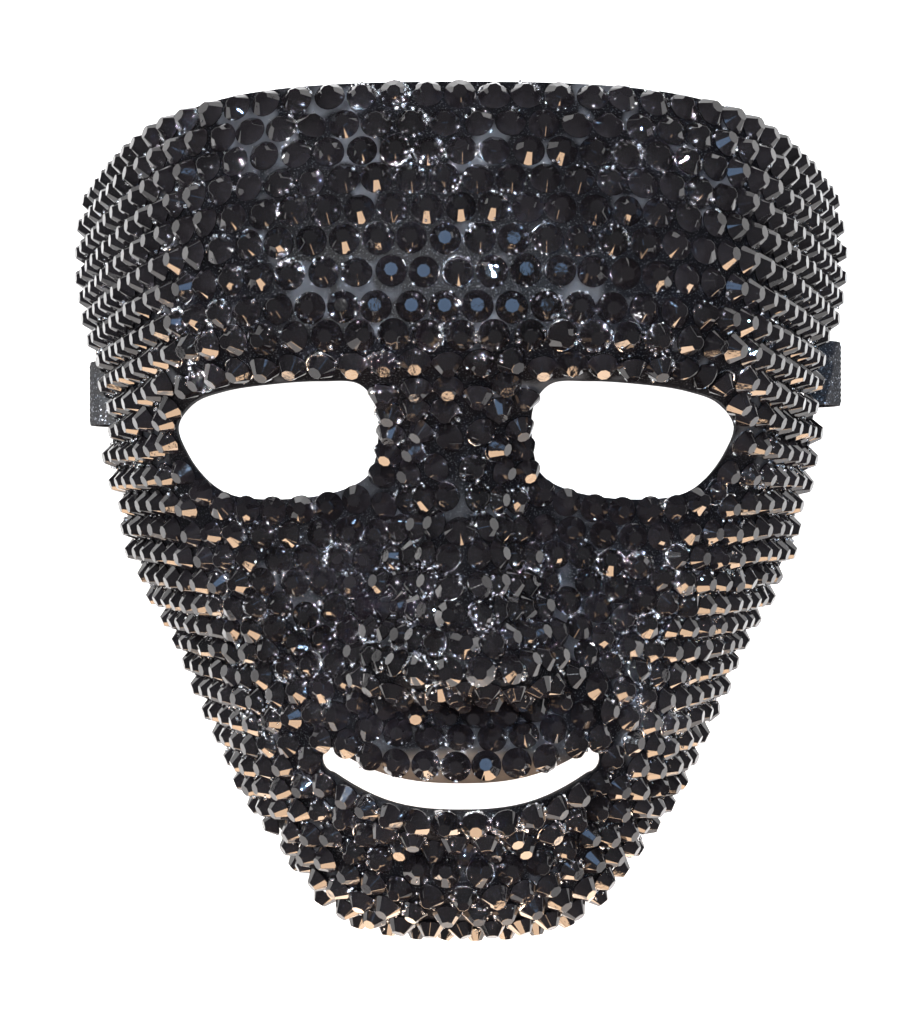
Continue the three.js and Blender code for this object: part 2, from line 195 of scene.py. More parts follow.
def smooth_curve(xs, ys, x):
    """Smooth curve through stations that never overshoots them."""
    xs, ys, x = (np.asarray(a, float) for a in (xs, ys, x))
    step = np.diff(xs)
    slope = np.diff(ys) / step
    tangent = np.empty_like(xs)
    tangent[0], tangent[-1] = slope[0], slope[-1]
    w1 = 2 * step[1:] + step[:-1]
    w2 = step[1:] + 2 * step[:-1]
    turning = slope[:-1] * slope[1:] <= 0
    safe_before = np.where(turning, 1, slope[:-1])
    safe_after = np.where(turning, 1, slope[1:])
    tangent[1:-1] = np.where(turning, 0, (w1 + w2) / (w1 / safe_before + w2 / safe_after))
    i = np.clip(np.searchsorted(xs, x, side="right") - 1, 0, len(xs) - 2)
    u = (x - xs[i]) / step[i]
    ease = 3 * u**2 - 2 * u**3
    leave = (u**3 - 2 * u**2 + u) * step[i] * tangent[i]
    arrive = (u**3 - u**2) * step[i] * tangent[i + 1]
    return (1 - ease) * ys[i] + ease * ys[i + 1] + leave + arrive


def smoothstep(x, low, high):
    """0 below low, 1 above high, eased between them."""
    u = np.clip((x - low) / (high - low), 0, 1)
    return u * u * (3 - 2 * u)


def hill(x, y, cx, cy, rx, ry, power=2):
    """1 at its centre and falling off over rx and ry; a higher power has a flatter top."""
    return np.exp(-(np.abs((x - cx) / rx) ** power + np.abs((y - cy) / ry) ** power))


def smile_rise(x):
    """How far up the smile has curled: 0 at its middle, 1 at its corners."""
    return (np.minimum(np.abs(x), SMILE_REACH) / MOUTH_HALF_WIDTH) ** MOUTH_CURL


def mouth_line(x):
    """Middle line of the smile slot."""
    return MOUTH_MIDDLE_Y + (MOUTH_CORNER_Y - MOUTH_MIDDLE_Y) * smile_rise(x)


def relief(x, y):
    """Features raised on the plain vault of the face."""
    side = np.abs(x)
    at = np.clip(y, NOSE_Y[0], NOSE_Y[-1])
    width = smooth_curve(NOSE_Y, NOSE_WIDTH, at)
    nose = smooth_curve(NOSE_Y, NOSE_HEIGHT, at) * np.exp(-(np.abs(x / width) ** NOSE_FULLNESS))
    from_mouth = y - mouth_line(x)
    nostrils = 6 * hill(side, y, 13.5, -32.5, 6.5, 5.5)
    cheeks = 3.5 * hill(side, y, 44, -16, 17, 15)
    sockets = -2 * hill(side, y, 37, 12, 19, 11, 4)
    brows = 2 * hill(side, y, 36, 29, 26, 6)
    upper_lip = 4 * np.exp(-(((from_mouth - 6) / 4.5) ** 2) - (side / 22) ** 4)
    lower_lip = 5.5 * np.exp(-(((from_mouth + 6) / 4.5) ** 2) - (side / 19) ** 4)
    groove = -2.5 * np.exp(-(((from_mouth + 12.5) / 3.5) ** 2) - (side / 17) ** 4)
    chin = 4 * hill(x, y, 0, -80, 15, 7)
    return nose + nostrils + cheeks + sockets + brows + upper_lip + lower_lip + groove + chin


def row_shift(x, row):
    """How far a row is led round the openings: up beside the smile, down under the eyes."""
    side = np.abs(x)
    by_mouth = smoothstep(row, 14.5, 23.5) * (1 - smoothstep(row, 25.5, 31))
    near_mouth = by_mouth * (1 - smoothstep(side, 27, 46))
    below_eye = smoothstep(row, 12.6, 13.4) * (1 - smoothstep(row, 13.5, 19.5))
    near_eye = below_eye * hill(side, 0, 37, 0, 25, 1, 6)
    return SMILE_LIFT * np.minimum(smile_rise(x), 1) * near_mouth - LID_DROP * near_eye


def face_point(across, row):
    """Outer face of the shell: across -1 to 1 from rim to rim, row 0 to ROWS down the face."""
    across, row = np.broadcast_arrays(np.asarray(across, float), np.asarray(row, float))
    rows = [s[0] for s in STATIONS]
    at = {f: smooth_curve(rows, [s[i] for s in STATIONS], row) for i, f in enumerate(STATION_FIELDS) if i}
    a = np.abs(across)
    handle = at["side"] * (at["z_mid"] - at["z_rim"])
    near = 3 * (1 - a) ** 2 * a
    far = 3 * (1 - a) * a**2
    far_x = at["half_width"] - handle * math.sin(CHEEK_LEAN)
    far_z = at["z_rim"] + handle * math.cos(CHEEK_LEAN)
    x = near * at["front"] * at["half_width"] + far * far_x + a**3 * at["half_width"]
    z = ((1 - a) ** 3 + near) * at["z_mid"] + far * far_z + a**3 * at["z_rim"]
    y = at["y_mid"] + (at["y_rim"] - at["y_mid"]) * a**ROW_SWEEP + row_shift(x, row)
    x = np.sign(across) * x
    return np.stack([x, y, z + relief(x, y)], axis=-1)


def face_slopes(across, row):
    """How the face point moves with across and with row."""
    step, row_step = 0.004, 0.06
    left, right = np.maximum(across - step, -1), np.minimum(across + step, 1)
    upper, lower = np.maximum(row - row_step, 0), np.minimum(row + row_step, ROWS)
    along = (face_point(right, row) - face_point(left, row)) / (right - left)[..., None]
    down = (face_point(across, lower) - face_point(across, upper)) / (lower - upper)[..., None]
    return along, down


def face_normal(across, row):
    """Which way the face looks outward."""
    along, down = face_slopes(np.asarray(across, float), np.asarray(row, float))
    return unit(np.cross(down, along))


# Curves and outlines

def spline(points, per_piece, closed):
    """Centripetal spline through the points, per_piece samples between each two."""
    p = np.asarray(points, float)
    if closed:
        p = np.vstack([p[-1], p, p[:2]])
    else:
        p = np.vstack([2 * p[0] - p[1], p, 2 * p[-1] - p[-2]])
    out = []
    for i in range(1, len(p) - 2):
        a, b, c, d = p[i - 1 : i + 3]
        t0, t1, t2 = (math.sqrt(np.linalg.norm(q - r)) for q, r in ((b, a), (c, b), (d, c)))
        m1 = ((b - a) / t0 - (c - a) / (t0 + t1) + (c - b) / t1) * t1
        m2 = ((c - b) / t1 - (d - b) / (t1 + t2) + (d - c) / t2) * t1
        u = np.linspace(0, 1, per_piece, endpoint=False)[:, None]
        ease = 3 * u**2 - 2 * u**3
        out.append((1 - ease) * b + ease * c + (u**3 - 2 * u**2 + u) * m1 + (u**3 - u**2) * m2)
    if not closed:
        out.append(p[-2][None])
    return np.vstack(out)


def run_length(points):
    """Length along a line up to each of its points."""
    return np.concatenate([[0], np.cumsum(lengths(np.diff(points, axis=0)))])


def even_steps(points, count):
    """The same line, cut into count equal steps."""
    length = run_length(points)
    at = np.linspace(0, length[-1], count + 1)
    return np.stack([np.interp(at, length, points[:, k]) for k in range(points.shape[1])], axis=1)


def eye_outline(side):
    """Edge of the eye opening on one side, -1 or 1."""
    turned = EYE_OUTLINE[::-side]
    return spline([(EYE_MIDDLE_X + side * x, y) for x, y in turned], 8, closed=True)


def mouth_outline(bare_above=0, bare_below=0):
    """Edge of the smile slot, set back where a bare strip is kept beside it."""
    half = MOUTH_HEIGHT / 2
    x = np.linspace(-MOUTH_HALF_WIDTH, MOUTH_HALF_WIDTH, 25)
    strip_below = 1 - smoothstep(np.abs(x), 14, 25)
    lower = np.stack([x, mouth_line(x) - half - bare_below * strip_below], axis=1)
    strip_above = 1 - smoothstep(np.abs(x), 6, 21)
    upper = np.stack([x, mouth_line(x) + half + bare_above * strip_above], axis=1)[::-1]
    turn = np.radians(np.linspace(-90, 90, 9)[1:-1])
    cap = np.stack([0.85 * half * np.cos(turn), half * np.sin(turn)], axis=1)
    right = cap + (MOUTH_HALF_WIDTH, MOUTH_CORNER_Y)
    left = -cap + (-MOUTH_HALF_WIDTH, MOUTH_CORNER_Y)
    return np.vstack([lower, right, upper, left])


OPENINGS = (eye_outline(-1), eye_outline(1), mouth_outline())
KEPT_BARE = (eye_outline(-1), eye_outline(1), mouth_outline(LIP_BARE_ABOVE, LIP_BARE_BELOW))


def opening_distance(xy, outline):
    """Signed distance from each point to an opening's edge, and the direction away from it."""
    a, b = outline, np.roll(outline, -1, axis=0)
    edge = b - a
    rel = xy[:, None] - a
    u = np.clip((rel * edge).sum(-1) / (edge**2).sum(-1), 0, 1)
    away = rel - u[..., None] * edge
    dist = lengths(away)
    k = dist.argmin(axis=1)
    rows = np.arange(len(xy))
    crosses = (a[:, 1] > xy[:, None, 1]) != (b[:, 1] > xy[:, None, 1])
    slope = np.where(np.abs(edge[:, 1]) < 1e-9, 1e-9, edge[:, 1])
    hit = edge[:, 0] * (xy[:, None, 1] - a[:, 1]) / slope + a[:, 0]
    inside = (crosses & (xy[:, None, 0] < hit)).sum(axis=1) % 2 == 1
    near = dist[rows, k]
    direction = away[rows, k] / np.maximum(near, 1e-6)[:, None]
    sign = np.where(inside, -1, 1)
    return near * sign, direction * sign[:, None]


# Mesh helpers

def mesh_arrays(form):
    """Points and faces of a bmesh, which is freed."""
    form.verts.index_update()
    points = np.array([v.co[:] for v in form.verts])
    faces = [[v.index for v in face.verts] for face in form.faces]
    form.free()
    return points, faces


def to_part(points):
    """Face millimetres to the part's frame in metres."""
    return np.asarray(points, float) * MM + np.array(FACE_SHIFT)


def add_mesh(name, points, faces, material, smooth=False):
    """A mesh from points in metres and faces, with one material."""
    mesh = bpy.data.meshes.new(name)
    mesh.from_pydata(np.asarray(points).tolist(), [], faces)
    mesh.materials.append(material)
    mesh.validate()
    mesh.polygons.foreach_set("use_smooth", [smooth] * len(mesh.polygons))
    piece = bpy.data.objects.new(name, mesh)
    bpy.context.collection.objects.link(piece)
    return piece


def settle(piece, slot, *nodes):
    """The piece rides with the mask and stands for its nodes, which it hides; the slot is not used."""
    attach(piece, "root")
    if nodes:
        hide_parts(*nodes)


def slab_faces(columns, rows):
    """Faces of a closed slab whose top and bottom are grids of columns by rows points."""
    count = columns * rows
    i, j = np.meshgrid(np.arange(columns - 1), np.arange(rows - 1))
    a = (j * columns + i).ravel()
    top = np.stack([a, a + columns, a + columns + 1, a + 1], axis=1)
    bottom = top[:, ::-1] + count
    edge = list(range(columns - 1))
    edge += [r * columns + columns - 1 for r in range(rows - 1)]
    edge += [(rows - 1) * columns + k for k in range(columns - 1, 0, -1)]
    edge += [r * columns for r in range(rows - 1, 0, -1)]
    edge = np.array(edge)
    after = np.roll(edge, -1)
    wall = np.stack([edge, after, after + count, edge + count], axis=1)
    return np.vstack([top, bottom, wall]).tolist()


# Colours: the two ends of a blend, or one tone
DRY_PLASTIC = ((0.076, 0.082, 0.094, 1), (0.112, 0.119, 0.134, 1))
FILMED_PLASTIC = (0.007, 0.007, 0.009, 1)
PALE_SPECKS = (0.1, 0.104, 0.115, 1)
# Painted warm reflection of the low warm lights on the bare lip strip, in place of the plastic's own grey
PAINTED_LIP_REFLECTION = (0.2, 0.155, 0.12, 1)
JET = ((0.0065, 0.0058, 0.0072, 1), (0.0125, 0.0105, 0.012, 1))
JET_SMUDGE = (0.02, 0.018, 0.022, 1)
SET_GLUE = ((0.82, 0.86, 0.92, 1), (0.95, 0.96, 0.98, 1))
YARN = ((0.004, 0.004, 0.006, 1), (0.024, 0.024, 0.03, 1))
GLITTER = (0.13, 0.135, 0.15, 1)
PALE_TABLE = ((0.8, 0.79, 0.78, 1), (0.86, 0.85, 0.845, 1))

# Where the glue film starts in its noise, and how far it takes to close over the plastic
FILM_FROM = 0.38
FILM_EDGE = 0.06

# The bare strip over the smile, tinted by a painted warm reflection: how much each direction counts, how far
# over the slot in millimetres, and its height and fade in metres
LIP_STRETCH = (0.22, 1, 0.3)
LIP_ABOVE_SLOT = 4
LIP_HEIGHT = 0.058
LIP_FADE = (0.0045, 0.0065)


# Material helpers

def new_tree(name):
    """A new material with its tree and shader."""
    material = bpy.data.materials.new(name)
    material.use_nodes = True
    tree = material.node_tree
    return material, tree, tree.nodes["Principled BSDF"]


def feed(tree, socket, value):
    """Link a socket from another one, or set it to a value."""
    if isinstance(value, bpy.types.NodeSocket):
        tree.links.new(value, socket)
    else:
        socket.default_value = value


def feed_all(tree, node, **inputs):
    """Feed a node's inputs by name, each _ standing for a space."""
    for key, value in inputs.items():
        feed(tree, node.inputs[key.replace("_", " ")], value)


def add_node(tree, kind, settings=None, **inputs):
    """A shader node of a kind such as Mix, with its settings and inputs."""
    node = tree.nodes.new("ShaderNode" + kind)
    for key, value in (settings or {}).items():
        setattr(node, key, value)
    feed_all(tree, node, **inputs)
    return node


def combine(tree, operation, first, second, kind="Math", output=0):
    """Two values put together, as by MULTIPLY or MAXIMUM."""
    node = add_node(tree, kind, {"operation": operation})
    feed(tree, node.inputs[0], first)
    feed(tree, node.inputs[1], second)
    return node.outputs[output]


def blend(tree, factor, low, high, kind="RGBA"):
    """From one colour at 0 to another at 1, or between values where kind is FLOAT."""
    mix = add_node(tree, "Mix", {"data_type": kind})
    places, result = ((0, 6, 7), 2) if kind == "RGBA" else ((0, 2, 3), 0)
    for place, value in zip(places, (factor, low, high)):
        feed(tree, mix.inputs[place], value)
    return mix.outputs[result]


def span(tree, value, low, high, to_low=0.0, to_high=1.0):
    """A value carried from one range to another, and held at its ends."""
    ends = {"From_Min": low, "From_Max": high, "To_Min": to_low, "To_Max": to_high}
    return add_node(tree, "MapRange", Value=value, **ends).outputs["Result"]


def grain_group():
    """Fine cloudy grain: a mask and a height over the surface, from a position and a scale."""
    group = bpy.data.node_groups.new("fine_grain", "ShaderNodeTree")
    for name, way, kind in (
        ("Vector", "INPUT", "Vector"), ("Scale", "INPUT", "Float"),
        ("Mask", "OUTPUT", "Float"), ("Height", "OUTPUT", "Float"),
    ):
        group.interface.new_socket(name, in_out=way, socket_type="NodeSocket" + kind)
    start = group.nodes.new("NodeGroupInput").outputs
    end = group.nodes.new("NodeGroupOutput").inputs
    fine = add_node(group, "TexNoise", Vector=start["Vector"], Scale=start["Scale"], Detail=3)
    broad_scale = combine(group, "MULTIPLY", start["Scale"], 0.07)
    broad = add_node(group, "TexNoise", Vector=start["Vector"], Scale=broad_scale)
    group.links.new(broad.outputs["Fac"], end["Mask"])
    group.links.new(fine.outputs["Fac"], end["Height"])
    return group


def place_grain(tree, group, scale):
    """The grain's mask and height over a piece."""
    where = add_node(tree, "TexCoord").outputs["Object"]
    node = add_node(tree, "Group", {"node_tree": group}, Vector=where, Scale=scale)
    return node.outputs["Mask"], node.outputs["Height"]


def raise_bump(tree, shader, height, strength, distance):
    """Fine relief from a height."""
    bump = add_node(tree, "Bump", Height=height, Strength=strength, Distance=distance)
    tree.links.new(bump.outputs["Normal"], shader.inputs["Normal"])


# Materials

def lip_strip_with_painted_glow(tree, where):
    """1 on the strip without stones over the smile slot, where a warm reflection is painted, 0 away from it.
    """
    middle_y = (MOUTH_MIDDLE_Y + LIP_ABOVE_SLOT) * MM + FACE_SHIFT.y
    middle = (0, middle_y, LIP_STRETCH[2] * LIP_HEIGHT)
    flat = combine(tree, "MULTIPLY", where, LIP_STRETCH, "VectorMath")
    gap = combine(tree, "DISTANCE", flat, middle, "VectorMath", "Value")
    return span(tree, gap, *LIP_FADE, 1, 0)


def clean_patches(tree, where, faces_up):
    """1 where no glue has run: patches that are widest on the forehead and rare on the walls."""
    noise = add_node(tree, "TexNoise", Vector=where, Scale=75).outputs["Fac"]
    patches = span(tree, noise, FILM_FROM, FILM_FROM + FILM_EDGE, 1, 0)
    up_face = add_node(tree, "SeparateXYZ", Vector=where).outputs["Y"]
    off_walls = span(tree, faces_up, 0.15, 0.5, 0.2, 1)
    on_forehead = span(tree, up_face, 0.02, 0.035, 0.45, 1)
    return combine(tree, "MULTIPLY", patches, combine(tree, "MULTIPLY", off_walls, on_forehead))


def shell_material(grain):
    """Dull dark grey plastic, darker where glue has run over it, smooth and bare over the mouth, where a
    warm reflection is painted into its colour.
    """
    material, tree, shader = new_tree("satin_shell")
    coordinates = add_node(tree, "TexCoord").outputs
    where = coordinates["Object"]
    faces_up = add_node(tree, "SeparateXYZ", Vector=coordinates["Normal"]).outputs["Z"]
    mask, height = place_grain(tree, grain, 2600)
    bare = lip_strip_with_painted_glow(tree, where)
    inside = span(tree, faces_up, -0.25, -0.1, 1, 0)
    clean = combine(tree, "MAXIMUM", clean_patches(tree, where, faces_up), inside)
    film = span(tree, combine(tree, "MAXIMUM", clean, bare), 0, 1, 1, 0)
    dry = blend(tree, span(tree, mask, 0.35, 0.65), *DRY_PLASTIC)
    # The bare strip over the mouth takes a painted warm reflection in its colour
    plain = blend(tree, bare, dry, PAINTED_LIP_REFLECTION)
    base = blend(tree, film, plain, FILMED_PLASTIC)
    colour = blend(tree, span(tree, height, 0.55, 0.85), base, PALE_SPECKS)
    roughness = blend(tree, bare, span(tree, film, 0, 1, 0.85, 0.45), 0.26, "FLOAT")
    feed_all(tree, shader, Base_Color=colour, Roughness=roughness, Specular_IOR_Level=0.004)
    ripple = combine(tree, "MULTIPLY", height, span(tree, film, 0, 1, 0.11, 1))
    raise_bump(tree, shader, ripple, 0.9, 0.0001)
    return material


def stone_material(grain):
    """Jet stone: a black mirror, each a shade of its own, with faint wipe marks."""
    material, tree, shader = new_tree("jet_rhinestone")
    mask, height = place_grain(tree, grain, 900)
    shade = add_node(tree, "Attribute", {"attribute_name": "stone_shade"}).outputs["Fac"]
    smudge = span(tree, mask, 0.35, 0.7)
    colour = blend(tree, smudge, blend(tree, shade, *JET), JET_SMUDGE)
    roughness = span(tree, mask, 0.4, 0.75, 0.008, 0.032)
    feed_all(tree, shader, Base_Color=colour, Roughness=roughness, IOR=1.6)
    raise_bump(tree, shader, height, 0.25, 0.00008)
    return material


def glue_material(grain):
    """Clear set glue."""
    material, tree, shader = new_tree("clear_glue")
    mask, height = place_grain(tree, grain, 1500)
    colour = blend(tree, mask, *SET_GLUE)
    roughness = span(tree, height, 0.3, 0.7, 0.1, 0.19)
    feed_all(tree, shader, Base_Color=colour, Roughness=roughness, IOR=1.75, Transmission_Weight=1)
    return material


def elastic_material(grain):
    """Woven elastic with fine silvery glitter among dark grey yarn."""
    material, tree, shader = new_tree("glitter_elastic")
    where = add_node(tree, "TexCoord").outputs["Object"]
    height = place_grain(tree, grain, 2600)[1]
    cells = add_node(tree, "TexVoronoi", Scale=3400, Vector=where)
    glint = span(tree, cells.outputs["Color"], 0.76, 0.9)
    yarn = blend(tree, span(tree, height, 0.35, 0.65), *YARN)
    colour = blend(tree, glint, yarn, GLITTER)
    roughness = span(tree, glint, 0, 1, 0.8, 0.5)
    metal = span(tree, glint, 0, 1, 0, 0.8)
    feed_all(tree, shader, Base_Color=colour, Roughness=roughness, Metallic=metal, Specular_IOR_Level=0.1)
    raise_bump(tree, shader, height, 0.8, 0.0004)
    return material


def floor_material(grain):
    """Pale matt table, lit a little by itself so that it stays even under the mask."""
    material, tree, shader = new_tree("pale_table")
    mask, height = place_grain(tree, grain, 300)
    colour = blend(tree, mask, *PALE_TABLE)
    feed_all(tree, shader, Base_Color=colour, Roughness=span(tree, height, 0.3, 0.7, 0.7, 0.85))
    feed_all(tree, shader, Emission_Color=colour, Emission_Strength=1.3)
    return material


# Shell

def prism(outline, low, high):
    """An upright prism over an outline: points and faces."""
    n = len(outline)
    points = np.vstack([np.column_stack([outline, np.full(n, z)]) for z in (low, high)])
    faces = [list(range(n))[::-1], list(range(n, 2 * n))]
    faces += [[k, (k + 1) % n, (k + 1) % n + n, k + n] for k in range(n)]
    return points, faces


def wall_at(side, z):
    """Where the shell's wall stands at a temple, at a height above the table, found step by step."""
    across, row = 1.0, 9.0
    for _ in range(40):
        point = face_point(side * across, row)
        across = min(max(across - (z - point[2]) * 0.004, 0.6), 1)
        row = min(max(row - (STRAP_Y[side] - point[1]) * 0.15, 4), 14)
    return face_point(side * across, row)


def strap_slot(side):
    """A block that cuts one strap slot through the wall."""
    x, y = wall_at(side, SLOT_Z)[0], STRAP_Y[side]
    half_y = STRAP_WIDTH / 2 + SLOT_CLEARANCE
    outline = [(x + a * SLOT_CUT, y + b * half_y) for a, b in SQUARE]
    return prism(outline, SLOT_Z - SLOT_HEIGHT / 2, SLOT_Z + SLOT_HEIGHT / 2)


def join_forms(forms):
    """Several sets of points and faces as one."""
    points, faces = [], []
    for form_points, form_faces in forms:
        start = sum(len(p) for p in points)
        points.append(form_points)
        faces += [[k + start for k in face] for face in form_faces]
    return np.vstack(points), faces


def cut_away(piece, cutter):
    """The piece's mesh with the cutter's form taken out of it; the cutter goes."""
    cut = piece.modifiers.new("openings", "BOOLEAN")
    cut.operation = "DIFFERENCE"
    cut.solver = "EXACT"
    cut.object = cutter
    bpy.context.view_layer.update()
    done = bpy.data.meshes.new_from_object(piece.evaluated_get(bpy.context.evaluated_depsgraph_get()))
    piece.modifiers.clear()
    piece.data = done
    bpy.data.objects.remove(cutter)
    return done


def make_shell(material):
    """The moulded face with its wall thickness and openings; the rim's two edges are level."""
    columns, rows = ((201, 161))
    across, row = np.meshgrid(np.linspace(-1, 1, columns), np.linspace(0, ROWS, rows))
    outer = face_point(across, row)
    inner = outer - SHELL_WALL * face_normal(across, row)
    for k in (0, -1):
        inner[:, k, 2] = outer[:, k, 2]
    points = np.vstack([outer.reshape(-1, 3), inner.reshape(-1, 3)])
    shell = add_mesh("moulded_shell", to_part(points), slab_faces(columns, rows), material, smooth=True)
    cutters = [prism(outline, CUT_BOTTOM, CUT_TOP) for outline in OPENINGS]
    cutters += [strap_slot(side) for side in (-1, 1)]
    cut_points, cut_faces = join_forms(cutters)
    cutter = add_mesh("opening_cutter", to_part(cut_points), cut_faces, material)
    done = cut_away(shell, cutter)
    done.polygons.foreach_set("use_smooth", [True] * len(done.polygons))
    done.set_sharp_from_angle(angle=CREASE)
    settle(shell, "shell", "mask_shell")


# Stones

def stone_template():
    """One round-girdled stone about the origin, flat back down: points in millimetres and faces."""
    share = 360 / MAIN_FACETS
    corner = share / 2
    apothem = STONE_TABLE * math.cos(math.radians(corner))
    crown = STONE_HEIGHT - STONE_GIRDLE

    def run(turn, inner):
        return STONE_RADIUS * math.cos(math.radians(turn)) - inner

    main_slope = crown / run(MAIN_HALF, apothem)
    corner_slope = crown / run(corner - MAIN_HALF, STONE_TABLE)
    points = []
    for facet in range(MAIN_FACETS):
        for turn in (-MAIN_HALF, 0, MAIN_HALF, corner):
            angle = math.radians(share * facet + turn)
            x, y = STONE_RADIUS * math.cos(angle), STONE_RADIUS * math.sin(angle)
            main_fall = run(turn, apothem) * main_slope
            corner_fall = run(corner - abs(turn), STONE_TABLE) * corner_slope
            points.append((x, y, STONE_HEIGHT - max(main_fall, corner_fall)))
            points.append((STONE_BACK * x, STONE_BACK * y, 0))
        angle = math.radians(share * facet + corner)
        points.append((STONE_TABLE * math.cos(angle), STONE_TABLE * math.sin(angle), STONE_HEIGHT))
    form = bmesh.new()
    for point in points:
        form.verts.new(point)
    bmesh.ops.convex_hull(form, input=form.verts[:])
    bmesh.ops.dissolve_limit(form, angle_limit=math.radians(2), verts=form.verts[:], edges=form.edges[:])
    bmesh.ops.recalc_face_normals(form, faces=form.faces[:])
    crown_edges = [e for e in form.edges if all(f.normal.z > 0.3 for f in e.link_faces)]
    bmesh.ops.bevel(form, geom=crown_edges, offset=STONE_EDGE, segments=1, profile=0.5, affect="EDGES")
    return mesh_arrays(form)


def under_strap(p):
    """Whether a point lies where the elastic runs over the wall, with a little room round it."""
    side = np.where(p[:, 0] < 0, STRAP_Y[-1], STRAP_Y[1])
    return (np.abs(p[:, 1] - side) < STRAP_WIDTH / 2 + ROOM_BESIDE) & (p[:, 2] < SLOT_Z + ROOM_ABOVE)


def clear_of_openings(p, margin):
    """Whether a point is clear of the elastic and at least a margin from each opening."""
    free = ~under_strap(p)
    for outline in KEPT_BARE:
        free &= opening_distance(p[:, :2], outline)[0] > margin
    return free


def free_runs(free, length):
    """Start and end, in length along the row, of each stretch where stones may stand."""
    edges = np.flatnonzero(np.diff(np.concatenate([[0], free.astype(int), [0]])))
    return [(length[a], length[b - 1]) for a, b in zip(edges[::2], edges[1::2])]


def row_starts(rng):
    """Stones strung along each row: whole rows offset by half a stone in turn, others from edge to edge."""
    across, row = [], []
    fine = np.linspace(-1, 1, 1601)
    for r in range(ROWS):
        line = face_point(fine, np.full_like(fine, r + 0.5))
        length = run_length(line)
        free = clear_of_openings(line, OPENING_MARGIN)
        free &= (length > RIM_MARGIN) & (length < length[-1] - RIM_MARGIN)
        for start, end in free_runs(free, length):
            room = end - start
            if room > WHOLE_ROW * length[-1]:
                offset = STONE_PITCH / 2 if r % 2 else 0
                middle = length[-1] / 2 + offset + rng.normal(0, ROW_UNEVEN)
                count = 2 * int(room / STONE_PITCH)
                at = middle + (np.arange(count) - count // 2) * STONE_PITCH
                at = at[(at > start) & (at < end)]
            elif room > STONE_CLOSEST:
                at = np.linspace(start, end, int(room / (STONE_CLOSEST + 0.3)) + 1)
            else:
                at = np.array([(start + end) / 2])
            at = at + rng.normal(0, ALONG_UNEVEN, len(at))
            across.append(np.interp(at, length, fine))
            row.append(np.full(len(at), r + 0.5) + rng.normal(0, DOWN_UNEVEN, len(at)))
    return np.concatenate(across), np.concatenate(row)


def pushes(p, reach):
    """How far each stone is pushed: off its neighbours, and to the edge of the openings' margin."""
    push = np.zeros_like(p)
    gap = p[:, None] - p
    dist = lengths(gap)
    np.fill_diagonal(dist, 99)
    i, j = np.nonzero(dist < reach)
    apart = PUSH_APART * (reach - dist[i, j])
    np.add.at(push, i, gap[i, j] / dist[i, j][:, None] * apart[:, None])
    for outline in KEPT_BARE:
        near, away = opening_distance(p[:, :2], outline)
        short = np.clip(OPENING_MARGIN - near, 0, 3)
        loose = np.clip(near - OPENING_MARGIN, 0, 3) * (near < OPENING_MARGIN + EDGE_ZONE)
        push[:, :2] += away * (PUSH_CLEAR * short - EDGE_DRAW * loose)[:, None]
    return push


def relax(across, row, home, turns, reach, hold):
    """Push stones into place while each keeps near its row."""
    for _ in range(turns):
        p = face_point(across, row)
        push = pushes(p, reach)
        along, down = face_slopes(across, row)
        aa, dd, ad = (along**2).sum(-1), (down**2).sum(-1), (along * down).sum(-1)
        pa, pd = (push * along).sum(-1), (push * down).sum(-1)
        det = aa * dd - ad**2
        across = np.clip(across + (pa * dd - pd * ad) / det, -RIM_AT, RIM_AT)
        row = row + (pd * aa - pa * ad) / det
        steady = np.clip(hold + 0.25 * smoothstep(p[:, 1], 22, 34), 0, 0.3)
        row = np.clip(row + steady * (home - row), TOP_ROW_AT, LAST_ROW_AT)
    return across, row


def thin_out(across, row, home, closest):
    """Drop the later of any two stones that stand too close, and any over an opening."""
    p = face_point(across, row)
    dist = lengths(p[:, None] - p)
    keep = clear_of_openings(p, OPENING_MARGIN - 0.9)
    for i in range(len(p)):
        if keep[i]:
            keep[i + 1 :] &= dist[i, i + 1 :] > closest
    return across[keep], row[keep], home[keep]


def roomy_places(rng):
    """Many places to try a stone at, spread evenly over the face and clear of the openings."""
    across = rng.uniform(-0.97, 0.97, GAP_TRIES)
    row = rng.uniform(0.5, ROWS - 0.45, GAP_TRIES)
    along, down = face_slopes(across, row)
    area = lengths(np.cross(along, down))
    chosen = rng.uniform(size=GAP_TRIES) < area / area.max()
    across, row = across[chosen], row[chosen]
    p = face_point(across, row)
    free = clear_of_openings(p, OPENING_MARGIN - 0.2)
    return across[free], row[free], p[free]


def fill_gaps(across, row, home, rng, room):
    """Set further stones wherever one fits with so much room, the tightest fits first."""
    try_across, try_row, p = roomy_places(rng)
    near = np.full(len(p), 99.0)
    for q in face_point(across, row):
        near = np.minimum(near, lengths(p - q))
    while True:
        fits = np.flatnonzero(near > room)
        if len(fits) == 0:
            return across, row, home
        k = fits[np.argmin(near[fits])]
        across = np.append(across, try_across[k])
        row = np.append(row, try_row[k])
        home = np.append(home, try_row[k])
        near = np.minimum(near, lengths(p - p[k]))


def lay_stones(rng):
    """Rows first, then further stones let into the gaps as the rest make way, then small ones."""
    across, row = row_starts(rng)
    home = row.copy()
    across, row = relax(across, row, home, turns=16, reach=6.08, hold=0.14)
    for squeeze, closest in ((4.7, 5.0), (4.9, 5.15), (5.1, 5.3)):
        across, row, home = fill_gaps(across, row, home, rng, room=squeeze)
        across, row = relax(across, row, home, turns=30, reach=6.12, hold=0.03)
        across, row, home = thin_out(across, row, home, closest)
    across, row, home = fill_gaps(across, row, home, rng, room=5.4)
    whole = len(across)
    across, row, home = fill_gaps(across, row, home, rng, room=4.7)
    size = np.where(np.arange(len(across)) < whole, 1, SMALL_STONE) * rng.uniform(0.97, 1.03, len(across))
    keep = ~under_strap(face_point(across, row))
    return across[keep], row[keep], size[keep]


